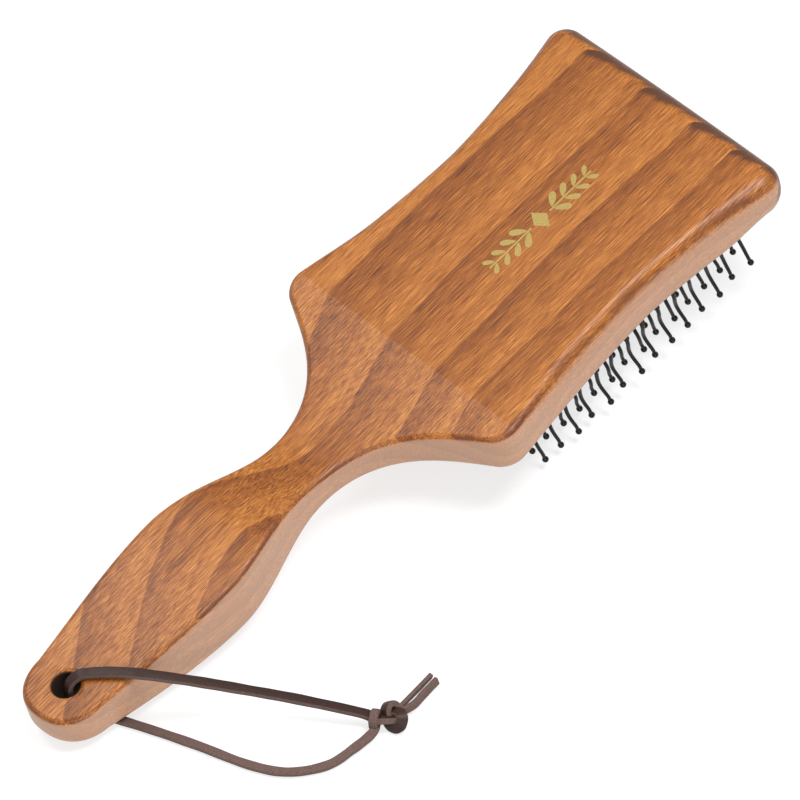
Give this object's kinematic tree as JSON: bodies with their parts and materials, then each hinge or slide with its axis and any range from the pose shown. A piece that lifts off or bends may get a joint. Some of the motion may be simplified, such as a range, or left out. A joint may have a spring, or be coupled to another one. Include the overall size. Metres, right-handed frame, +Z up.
{
  "type": "vanity hairbrush",
  "caption": "Wooden paddle hairbrush lying pins down: shaped handle, air cushion set in the head, wavy ball-tipped pins and a knotted leather thong through the handle.",
  "frame": {"origin": "on the table, under the middle of the brush without its thong, as it lies with its pins and its handle's end down", "axes": "+X from the handle's end to the head's tip, +Y across the brush, +Z up off the table. The brush leans: its head's back faces up and a little towards the handle"},
  "size_m": [0.248, 0.1137, 0.0489],
  "materials": {
    "wood": "satin varnish",
    "rubber": "matt",
    "nylon": "gloss",
    "leather": "smooth"
  },
  "bodies": {
    "brush_body": {"wooden_body": "wood", "rubber_cushion": "rubber", "thong_upper": "leather", "thong_lower": "leather", "thong_knot": "leather", "thong_tail_a": "leather", "thong_tail_b": "leather"},
    "pin_bed": {"pin_row_01": "nylon", "pin_row_02": "nylon", "pin_row_03": "nylon", "pin_row_04": "nylon", "pin_row_05": "nylon", "pin_row_06": "nylon", "pin_row_07": "nylon", "pin_row_08": "nylon", "pin_row_09": "nylon", "pin_row_10": "nylon", "pin_row_11": "nylon", "pin_row_12": "nylon", "pin_row_13": "nylon", "pin_row_14": "nylon"}
  },
  "joints": [
    {"name": "cushion_press", "type": "slide", "parent": "brush_body", "child": "pin_bed", "axis": [-0.1323, 0, 0.9912], "range_m": [0, 0.003], "stiffness_N_per_m": 2500, "deforming": ["rubber_cushion"]}
  ]
}
